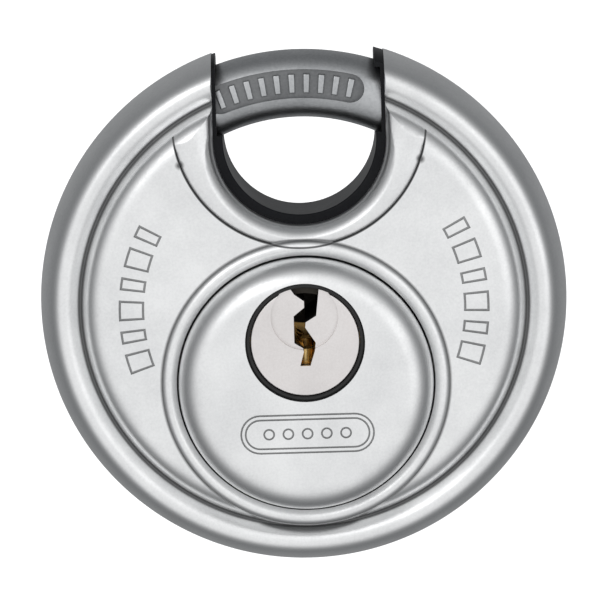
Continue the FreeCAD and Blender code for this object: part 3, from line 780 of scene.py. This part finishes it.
@dataclass
class Body:
    """The two pressed shells."""

    disc_radius: float = 25.0
    face_depth: float = FACE_DEPTH
    sheet: float = 0.9
    face_radius: float = 18.6
    shoulder_roll: float = 2.2
    shoulder_slope: float = 62.0
    groove_radius: float = 21.1
    groove_depth: float = 4.45
    groove_half_width: float = 0.24
    groove_rise: float = 0.18
    groove_spread: float = 0.55
    seam: float = 0.07
    bead_radius: float = 22.6
    bead_depth: float = 5.3
    rim_steps: int = 18
    chords: int = 240
    lip_chords: int = 192
    tunnel_radius: float = 3.4
    tunnel_reach: float = 36.0
    lip_inner: float = 12.16
    lip_width: float = 1.4
    lip_rise: float = 0.5
    lip_edge: float = 0.1
    lip_sink: float = 0.35
    lip_skirt: float = 0.6
    lip_skirt_depth: float = 4.6
    lip_foot_depth: float = 3.0
    cup_centre: float = CUP_CENTRE
    mark_radius: float = 16.2
    mark_height: float = 2.4
    mark_start: float = 63.0
    mark_step: float = 8.6
    mark_count: int = 6
    mark_wide: float = 6.6
    mark_narrow: float = 4.2
    engraving_depth: float = 0.2
    engraving_stroke: float = 0.22
    notch: Notch = field(default_factory=Notch)

    def profile(self, inset: float, back: float) -> Profile:
        """Half section of the front half.

        Args:
            inset: How far the section lies inside the outer skin.
            back: Depth of its flat end: 0 in the middle plane, with half a seam, or less behind it.

        Returns:
            Radius and depth of each point, from the axis out and back to the axis.
        """
        top = self.face_depth - inset
        groove = self.groove_depth - inset
        edge = groove + self.groove_rise
        half_width = self.groove_half_width + self.groove_spread * inset
        roll = self.shoulder_roll - inset
        points: Profile = [(0, top), (self.face_radius * 0.5, top)]
        points += arc_points((self.face_radius, top - roll), roll, 90, 90 - self.shoulder_slope, 10)
        points += self._valley(self.groove_radius, groove, half_width, self.groove_rise)
        start = (self.groove_radius + half_width, edge)
        points += self._rise(start, (self.bead_radius, self.bead_depth - inset))
        rim = self.disc_radius - inset - self.bead_radius
        crest = self.bead_depth - inset
        for index in range(1, self.rim_steps):
            angle = math.pi / 2 * (1 - index / self.rim_steps)
            points.append((self.bead_radius + rim * math.cos(angle), crest * math.sin(angle)))
        points.append((self.bead_radius + rim, self.seam))
        points.append((self.bead_radius + rim - (0 if back else self.seam), 0.0))
        if back:
            points.append((self.bead_radius + rim, back))
        return points + [(0, back)]

    @staticmethod
    def _valley(radius: float, depth: float, half_width: float, rise: float) -> Profile:
        """Rounded bottom of the groove.

        Args:
            radius: Radius of its middle.
            depth: Depth of its middle.
            half_width: Half of its width.
            rise: How much shallower its edges are than its middle.

        Returns:
            The bottom's points, both edges included.
        """
        chords = 4
        shares = [index / chords for index in range(-chords, chords + 1)]
        return [(radius + half_width * share, depth + rise * share * share) for share in shares]

    @staticmethod
    def _rise(start: tuple[float, float], crest: tuple[float, float]) -> Profile:
        """Curve from the groove's edge up to the bead's crest.

        Args:
            start: Radius and depth of the groove's edge.
            crest: Radius and depth of the crest, where the curve is level.

        Returns:
            The curve's points after its start.
        """
        run = crest[0] - start[0]
        climb = crest[1] - start[1]
        chords = 6
        shares = [index / chords for index in range(1, chords + 1)]
        rises = [climb * math.sin(share * math.pi / 2) for share in shares]
        return [(start[0] + run * share, start[1] + rise) for share, rise in zip(shares, rises)]

    def envelope(self, inset: float, back: float = 0.0) -> Solid:
        """Front half of the body as a solid."""
        return Solid.lathe(self.profile(inset, back), self.chords)

    def tunnel(self) -> Solid:
        """Passage for the shackle through the notch's cheeks."""
        return Shackle().bar(self.tunnel_radius, -self.tunnel_reach, self.tunnel_reach)

    def lip(self) -> Solid:
        """Rounded ring that the front shell raises round the cup."""
        outer = self.lip_inner + self.lip_width
        edge = self.face_depth + self.lip_edge
        rise = self.lip_rise - self.lip_edge
        crest = [(0.0, 0.0), (0.10, 0.22), (0.24, 0.62), (0.42, 0.95), (0.55, 1.0), (0.72, 0.86),
                 (0.88, 0.48), (1.0, 0.0)]
        points = [(self.lip_inner + self.lip_width * across, edge + rise * up) for across, up in crest]
        points.append((outer + self.lip_edge, self.face_depth - self.lip_sink))
        points.append((outer + self.lip_skirt, self.lip_skirt_depth))
        points += [(outer + self.lip_skirt, self.lip_foot_depth), (self.lip_inner, self.lip_foot_depth)]
        return Solid.lathe(points, self.lip_chords, self.cup_centre)

    def marks(self) -> Solid:
        """Hollow bars engraved on both sides of the face."""
        inner = self.mark_radius - self.mark_height / 2
        outer = self.mark_radius + self.mark_height / 2
        floor = self.face_depth - self.engraving_depth
        stroke = math.degrees(self.engraving_stroke / self.mark_radius)
        frames = []
        for index in range(self.mark_count):
            width = self.mark_wide if index % 2 else self.mark_narrow
            for side in (-1, 1):
                start = side * (self.mark_start + index * self.mark_step) - width / 2
                front = self.face_depth + ENGRAVING_MARGIN
                whole = Solid.sector(inner, outer, start, start + width, front, floor)
                core = Solid.sector(inner + self.engraving_stroke, outer - self.engraving_stroke,
                                    start + stroke, start + width - stroke, front + ENGRAVING_MARGIN,
                                    floor - ENGRAVING_MARGIN)
                frames.append(whole.cut(core))
        return Solid.joined(frames)

    def shell(self, side: Side) -> Solid:
        """Makes one pressed shell.

        Args:
            side: The half of the body.

        Returns:
            The shell; only the front one has the lip, the cup's hole and the marks.
        """
        outer = self.notch.opened(self.envelope(0.0), 0.0)
        if side is Side.FRONT:
            outer = outer.join(self.lip())
        inner = self.notch.opened(self.envelope(self.sheet, -1.0), self.sheet)
        shell = outer.cut(inner).cut(self.tunnel())
        if side is Side.REAR:
            return shell.mirrored()
        hole = Solid.rod(self.lip_inner, FAR, -1.0, z=self.cup_centre, segments=self.lip_chords)
        shell = shell.cut(hole)
        return shell.cut(self.marks())

    def build(self, workshop: Workshop) -> None:
        """Makes both shells."""
        for side in Side:
            half = side.name.lower()
            workshop.finish(self.shell(side), f"body_{half}", f"{half}_shell", "case", "body_steel")


@dataclass
class Cup:
    """Domed cap over the lock cylinder."""

    centre: float = CUP_CENTRE
    radius: float = 12.0
    face_depth: float = 9.3
    roll: float = 2.7
    sheet: float = 0.9
    foot_depth: float = 4.7
    plug_centre: float = PLUG_CENTRE
    plug_hole: float = 5.6
    badge_length: float = 12.6
    badge_height: float = 3.75
    badge_centre: float = -11.3
    badge_line_gap: float = 0.42
    badge_end_steps: int = 16
    chords: int = 192
    hole_chords: int = 128
    ring_chords: int = 32
    ring_count: int = 5
    ring_radius: float = 0.55
    ring_step: float = 1.8
    engraving_depth: float = 0.16
    engraving_stroke: float = 0.17

    def profile(self) -> Profile:
        """Closed half section of the cup's wall."""
        corner = (self.radius - self.roll, self.face_depth - self.roll)
        points: Profile = [(0, self.face_depth), (self.radius * 0.4, self.face_depth)]
        points += arc_points(corner, self.roll, 90, 0, 14)
        points += [(self.radius, self.foot_depth), (self.radius - self.sheet, self.foot_depth)]
        points += arc_points(corner, self.roll - self.sheet, 0, 90, 8)
        return points + [(0, self.face_depth - self.sheet)]

    def stadium(self, length: float, height: float, front: float, back: float) -> Solid:
        """Makes a bar with round ends at the badge's place.

        Args:
            length: Length over the ends.
            height: Height, twice the radius of the ends.
            front: Depth of the front face.
            back: Depth of the back face.

        Returns:
            The bar.
        """
        radius = height / 2
        half = length / 2 - radius
        outline = []
        for centre, first in ((half, -90), (-half, 90)):
            for index in range(self.badge_end_steps + 1):
                angle = math.radians(first + 180 * index / self.badge_end_steps)
                x = centre + radius * math.cos(angle)
                outline.append(Vector((x, 0, self.badge_centre + radius * math.sin(angle))))
        return Solid.prism(outline, front, back)

    def badge(self) -> Solid:
        """Two thin lines round the badge, with a row of small rings inside."""
        floor = self.face_depth - self.engraving_depth
        front = self.face_depth + ENGRAVING_MARGIN
        core_front = front + ENGRAVING_MARGIN
        core_floor = floor - ENGRAVING_MARGIN
        stroke = 2 * self.engraving_stroke
        parts = []
        for inset in (0.0, self.badge_line_gap):
            length = self.badge_length - 2 * inset
            height = self.badge_height - 2 * inset
            core = self.stadium(length - stroke, height - stroke, core_front, core_floor)
            parts.append(self.stadium(length, height, front, floor).cut(core))
        for index in range(self.ring_count):
            x = (index - (self.ring_count - 1) / 2) * self.ring_step
            bore = self.ring_radius - self.engraving_stroke
            core = Solid.rod(bore, core_front, core_floor, x, self.badge_centre, self.ring_chords)
            ring = Solid.rod(self.ring_radius, front, floor, x, self.badge_centre, self.ring_chords)
            parts.append(ring.cut(core))
        return Solid.joined(parts)

    def build(self, workshop: Workshop) -> None:
        """Makes the cup."""
        hole = Solid.rod(self.plug_hole, FAR, self.foot_depth, z=self.plug_centre, segments=self.hole_chords)
        cup = Solid.lathe(self.profile(), self.chords, self.centre).cut(hole).cut(self.badge())
        workshop.finish(cup, "cup", "cylinder_cup", "case", "cup_steel")


@dataclass
class Plug:
    """The keyed face of the plug and the seal ring round it."""

    centre: float = PLUG_CENTRE
    radius: float = 5.1
    front: float = 8.8
    back: float = 7.5
    edge: float = 0.14
    recess_radius: float = 3.15
    recess_rise: float = 2.4
    recess_depth: float = 0.45
    seal_outer: float = 5.6
    seal_front: float = 8.95
    seal_back: float = 7.4
    seal_gap: float = 0.05
    chords: int = 128

    def keyway(self) -> Solid:
        """Stepped keyway: a wide mouth at the top, then two offset wards."""
        mouth_half = 1.45
        mouth_top = 5.3
        ward_half = 1.0
        upper_ward = 2.4
        middle_ward = -0.15
        foot = -2.25
        right = [(mouth_half, mouth_top), (ward_half + 0.1, upper_ward), (0.1, 1.8), (0.05, 1.3),
                 (ward_half, middle_ward), (0.9, -0.85), (0.45, foot)]
        left = [(-0.5, foot), (-0.13, -0.9), (-0.2, -0.65), (-ward_half, middle_ward),
                (-ward_half, upper_ward), (0, 3.2), (0, 3.8), (-0.9, 4.45)]
        corners = [(-mouth_half, mouth_top), *right, *left]
        return Solid.prism([Vector((x, 0, self.centre + z)) for x, z in corners], FAR, 0.0)

    def cap(self) -> Solid:
        """Face of the plug, with its finger recess and keyway."""
        profile = [(0, self.front)]
        profile += arc_points((self.radius - self.edge, self.front - self.edge), self.edge, 90, 0, 4)
        profile += [(self.radius, self.back), (0, self.back)]
        disc = Solid.lathe(profile, self.chords, self.centre)
        floor = self.front - self.recess_depth
        recess = Solid.rod(self.recess_radius, FAR, floor, z=self.centre + self.recess_rise)
        return disc.cut(recess).cut(self.keyway())

    def seal(self) -> Solid:
        """Ring round the plug's face, with a rounded front."""
        inner = self.radius + self.seal_gap
        half = (self.seal_outer - inner) / 2
        profile = arc_points((inner + half, self.seal_front - half), half, 180, 0, 8)
        profile += [(self.seal_outer, self.seal_back), (inner, self.seal_back)]
        return Solid.lathe(profile, self.chords, self.centre)

    def build(self, workshop: Workshop) -> None:
        """Makes the face cap and the seal ring."""
        workshop.finish(self.cap(), "plug_face", "plug_face_cap", "plug_set", "plug_nickel")
        workshop.finish(self.seal(), "plug_seal", "plug_seal_ring", "case", "black_rubber")


@dataclass
class Shackle:
    """Ring-segment shackle with its sunk panel and inner lug."""

    radius: float = 20.65
    bar_radius: float = 3.2
    nose_angle: float = -33.0
    tail_angle: float = 62.0
    end_round: float = 0.9
    chord_angle: float = 1.2
    section_sides: int = 56
    lug_inner: float = 13.4
    lug_outer: float = 18.5
    lug_start: float = 42.0
    lug_end: float = 60.0
    lug_front: float = -0.2
    lug_back: float = -2.6
    panel_radius: float = 20.9
    panel_width: float = 2.7
    panel_floor: float = 2.5
    panel_start: float = -20.5
    panel_end: float = 13.5
    panel_steps: int = 40
    panel_end_steps: int = 12
    bar_rise: float = 0.3
    bar_margin: float = 0.45
    bar_angle: float = 1.6
    bar_edge: float = 0.12
    bar_count: int = 10

    def bar(self, radius: float, start: float, end: float, end_round: float = 0.0) -> Solid:
        """Makes a round bar that is bent about the disc's axis.

        Args:
            radius: Radius of the bar's section.
            start: First clockwise angle in degrees from the top.
            end: Last angle.
            end_round: Width of the rounding at the ends.

        Returns:
            The bar.
        """
        mesh = bmesh.new()
        made = bmesh.ops.create_circle(mesh, cap_ends=False, segments=self.section_sides, radius=radius)
        circle = made["verts"]
        across = Matrix.Rotation(math.pi / 2, 3, "Y")
        along = Matrix.Rotation(math.radians(start), 3, "Y")
        bmesh.ops.rotate(mesh, verts=circle, cent=(0, 0, 0), matrix=across)
        bmesh.ops.translate(mesh, verts=circle, vec=(0, 0, self.radius))
        bmesh.ops.rotate(mesh, verts=circle, cent=(0, 0, 0), matrix=along)
        bmesh.ops.spin(mesh, geom=circle + list(mesh.edges), cent=(0, 0, 0), axis=(0, 1, 0),
                       angle=math.radians(end - start), steps=int((end - start) / self.chord_angle),
                       use_duplicate=False)
        bmesh.ops.remove_doubles(mesh, verts=mesh.verts, dist=1e-5)
        bmesh.ops.holes_fill(mesh, edges=[edge for edge in mesh.edges if edge.is_boundary], sides=0)
        solid = Solid(mesh)
        if end_round:
            solid.bevelled(end_round, self._on_end_face, 5)
        return solid

    @staticmethod
    def _on_end_face(edge: bmesh.types.BMEdge) -> bool:
        """Whether an edge borders a bar's many-sided end face."""
        return any(len(face.verts) > 4 for face in edge.link_faces)

    def panel(self) -> Solid:
        """Sunk panel that follows the bar, with round ends."""
        half = self.panel_width / 2
        run = self.panel_end - self.panel_start
        angles = [self.panel_start + run * index / self.panel_steps for index in range(self.panel_steps + 1)]
        outline = [polar(self.panel_radius + half, angle) for angle in angles]
        outline += self._round_end(self.panel_end, half, self.panel_end)
        outline += [polar(self.panel_radius - half, angle) for angle in reversed(angles)]
        outline += self._round_end(self.panel_start, half, self.panel_start + 180)
        return Solid.prism(outline, FAR, self.panel_floor)

    def _round_end(self, angle: float, half: float, first: float) -> list[Vector]:
        """Points of the half circle that closes the panel.

        Args:
            angle: Clockwise angle of the half circle's centre.
            half: Radius of the half circle.
            first: Direction, as a clockwise angle, in which the half circle starts.

        Returns:
            The points between the half circle's ends.
        """
        centre = polar(self.panel_radius, angle)
        turns = [180 * index / self.panel_end_steps for index in range(1, self.panel_end_steps)]
        return [centre + polar(half, first + turn) for turn in turns]

    def panel_bars(self) -> list[Solid]:
        """Row of plain bars raised from the panel's floor."""
        half = self.panel_width / 2 - self.bar_margin
        step = (self.panel_end - self.panel_start) / (self.bar_count - 1)
        bars = []
        for index in range(self.bar_count):
            start = self.panel_start + index * step - self.bar_angle / 2
            made = Solid.sector(self.panel_radius - half, self.panel_radius + half, start,
                                start + self.bar_angle, self.panel_floor + self.bar_rise,
                                self.panel_floor - self.bar_rise)
            bars.append(made.bevelled(self.bar_edge, self._above_panel_floor))
        return bars

    def _above_panel_floor(self, edge: bmesh.types.BMEdge) -> bool:
        """Whether an edge stands in front of the panel's floor."""
        return all(vert.co.y < -self.panel_floor for vert in edge.verts)

    def build(self, workshop: Workshop) -> None:
        """Makes the shackle.

        Args:
            workshop: Where it is finished.
        """
        lug = Solid.sector(self.lug_inner, self.lug_outer, self.lug_start, self.lug_end, self.lug_front,
                           self.lug_back)
        shackle = self.bar(self.bar_radius, self.nose_angle, self.tail_angle, self.end_round)
        shackle = shackle.join(lug).cut(self.panel())
        shackle = Solid.joined([shackle] + self.panel_bars())
        workshop.finish(shackle, "shackle_bar", "shackle", "shackle_set", "shackle_steel")


@dataclass
class Liner:
    """Black moulded liner of the notch, with collars round the shackle."""

    notch: Notch = field(default_factory=Notch)
    inner: float = 7.2
    half_depth: float = 4.0
    edge: float = 0.18
    back_gap: float = 0.02
    rim_gap: float = 0.1
    height: float = 9.0
    shoulder: float = 0.4
    collar_wall: float = 0.35
    tip_wall: float = 1.1
    tip_height: float = 22.4
    bend_steps: int = 96
    chords: int = 192

    def between_collars(self) -> Solid:
        """Space between the thin collars, narrower at the tip over the shackle."""
        low = self.notch.centre + self.shoulder
        top = self.notch.centre + self.notch.height
        side = self.notch.radius - self.collar_wall
        tip = self.notch.radius - self.tip_wall
        corners = [(-side, low), (side, low), (side, self.tip_height), (tip, self.tip_height), (tip, top),
                   (-side, top)]
        return Solid.prism([Vector((x, 0, z)) for x, z in corners], FAR, -FAR)

    def strip(self) -> Solid:
        """Strip with rounded edges, bent round the notch and carried up its sides."""
        outer = self.notch.radius - self.back_gap
        centre = self.inner + self.edge
        rise = self.half_depth - self.edge
        outline = arc_points((centre, rise), self.edge, 180, 90, 4)
        outline += [(outer, self.half_depth), (outer, -self.half_depth)]
        outline += arc_points((centre, -rise), self.edge, 270, 180, 4)
        mesh = bmesh.new()
        verts = [mesh.verts.new((radius, -depth, 0)) for radius, depth in outline]
        edges = [mesh.edges.new(pair) for pair in zip(verts, verts[1:] + verts[:1])]
        bmesh.ops.spin(mesh, geom=verts + edges, cent=(0, 0, 0), axis=(0, 1, 0), angle=math.pi,
                       steps=self.bend_steps, use_merge=False, use_duplicate=False)
        bmesh.ops.remove_doubles(mesh, verts=mesh.verts, dist=1e-4)
        ends = [edge for edge in mesh.edges if edge.is_boundary]
        risen = bmesh.ops.extrude_edge_only(mesh, edges=ends)
        moved = [item for item in risen["geom"] if isinstance(item, bmesh.types.BMVert)]
        bmesh.ops.translate(mesh, verts=moved, vec=(0, 0, self.height))
        bmesh.ops.holes_fill(mesh, edges=[edge for edge in mesh.edges if edge.is_boundary], sides=0)
        return Solid(mesh).raised(self.notch.centre)

    def build(self, workshop: Workshop) -> None:
        """Makes the liner.

        Args:
            workshop: Where it is finished.
        """
        body = Body()
        half = body.profile(self.rim_gap, 0.0)[:-1]
        whole = half + [(radius, -depth) for radius, depth in reversed(half[:-1])]
        liner = self.strip().common(Solid.lathe(whole, self.chords))
        liner = liner.cut(body.tunnel()).cut(self.between_collars())
        workshop.finish(liner, "throat_lining", "throat_liner", "case", "black_plastic")


@dataclass
class Studio:
    """Camera, soft light, floor and surroundings."""

    place: Place
    view_width: float = 57.9
    distance: float = 430.0
    elevation: float = 9.5
    roll: float = 1.6
    sensor: float = 36.0
    target_drop: float = 0.55
    floor_drop: float = 70.0
    floor_size: float = 3.0

    def camera(self) -> None:
        """Places the camera in front of the disc and a little above it."""
        target = Vector((0, 0, (self.place.disc_height - self.target_drop) * MM))
        rise = math.radians(self.elevation)
        data = bpy.data.cameras.new("camera")
        data.sensor_width = self.sensor
        data.lens = self.sensor * self.distance / self.view_width
        data.clip_start = 0.01
        data.clip_end = 10.0
        camera = bpy.data.objects.new("camera", data)
        camera.location = target + Vector((0, -math.cos(rise), math.sin(rise))) * self.distance * MM
        towards = (target - camera.location).to_track_quat("-Z", "Y").to_matrix()
        turn = Matrix.Rotation(-math.radians(self.roll), 3, "Z")
        camera.rotation_euler = (towards @ turn).to_euler()
        bpy.context.scene.collection.objects.link(camera)
        bpy.context.scene.camera = camera

    def light(self, name: str, place: tuple[float, float, float], size: float, power: float) -> None:
        """Adds a square soft light that faces the disc.

        Args:
            name: Name of the light.
            place: Millimetres from the disc's centre, along X, Y and Z.
            size: Side of the square, in millimetres.
            power: Power in watts.
        """
        data = bpy.data.lights.new(name, "AREA")
        data.size = size * MM
        data.energy = power
        lamp = bpy.data.objects.new(name, data)
        centre = Vector((0, 0, self.place.disc_height * MM))
        lamp.location = centre + Vector(place) * MM
        lamp.rotation_euler = (centre - lamp.location).to_track_quat("-Z", "Y").to_euler()
        bpy.context.scene.collection.objects.link(lamp)

    def surroundings(self) -> None:
        """White backdrop for the camera and a graded room for the reflections."""
        world = bpy.data.worlds.new("studio")
        bpy.context.scene.world = world
        world.use_nodes = True
        graph = Graph(world.node_tree)
        direction = graph.add("ShaderNodeTexCoord")[0]
        parts = graph.add("ShaderNodeSeparateXYZ", {}, {0: direction})
        depth = graph.ranged(parts[1], -1.0, 1.0, 0.0, 1.0)
        room = graph.add("ShaderNodeValToRGB", {"stops": [
            (0.0, (0.92, 0.925, 0.93)), (0.14, (0.90, 0.905, 0.91)), (0.36, (0.30, 0.305, 0.31)),
            (0.55, (0.17, 0.175, 0.18)), (1.0, (0.30, 0.305, 0.31))]}, {0: depth})[0]
        height = graph.ranged(parts[2], -0.6, 0.9, 1.0, 1.12)
        graded = graph.add("ShaderNodeBackground", {}, {"Color": room, "Strength": height})[0]
        white = graph.add("ShaderNodeBackground", {}, {"Color": (1, 1, 1, 1), "Strength": 1.0})[0]
        seen = graph.add("ShaderNodeLightPath")[0]
        mixed = graph.add("ShaderNodeMixShader", {}, {0: seen, 1: graded, 2: white})[0]
        graph.add("ShaderNodeOutputWorld", {}, {"Surface": mixed})

    def floor(self) -> None:
        """Plain pale floor, well below the hanging lock."""
        mesh = bmesh.new()
        level = (self.place.disc_height - self.floor_drop) * MM
        bmesh.ops.create_grid(mesh, x_segments=2, y_segments=2, size=self.floor_size)
        bmesh.ops.translate(mesh, verts=mesh.verts, vec=(0, 0, level))
        data = bpy.data.meshes.new("floor")
        mesh.to_mesh(data)
        made = bpy.data.materials.new("floor")
        made.use_nodes = True
        graph = Graph(made.node_tree)
        tone = graph.ranged(graph.noise(graph.coordinates(), 40.0), 0.0, 1.0, 0.96, 1.0)
        colour = graph.mixed(tone, (0.86, 0.86, 0.86, 1), (0.93, 0.93, 0.93, 1))
        shader = graph.add("ShaderNodeBsdfPrincipled", {}, {
            "Base Color": colour, "Roughness": 0.9, "Emission Color": colour, "Emission Strength": 0.9})
        graph.add("ShaderNodeOutputMaterial", {}, {"Surface": shader[0]})
        data.materials.append(made)
        floor = bpy.data.objects.new("floor", data)
        floor.visible_glossy = False
        bpy.context.scene.collection.objects.link(floor)

    def build(self) -> None:
        """Sets the whole studio up."""
        self.camera()
        self.surroundings()
        self.floor()
        self.light("key", (-160, -330, 230), size=220, power=0.16)
        self.light("fill", (230, -300, 60), size=260, power=0.06)


def main() -> None:
    """Builds the studio, dresses the frame and makes the visible pieces."""
    logging.basicConfig(level=logging.INFO, format="%(name)s: %(message)s")
    bpy.context.scene.view_settings.view_transform = "Standard"
    place = Place.from_frame()
    finishes = Finishes(place)
    workshop = Workshop(place, finishes)
    Studio(place).build()
    finishes.dress_frame()
    for assembly in (Body(), Cup(), Plug(), Shackle(), Liner()):
        assembly.build(workshop)
        LOG.info("%s built", type(assembly).__name__)


if __name__ == "__main__":
    main()
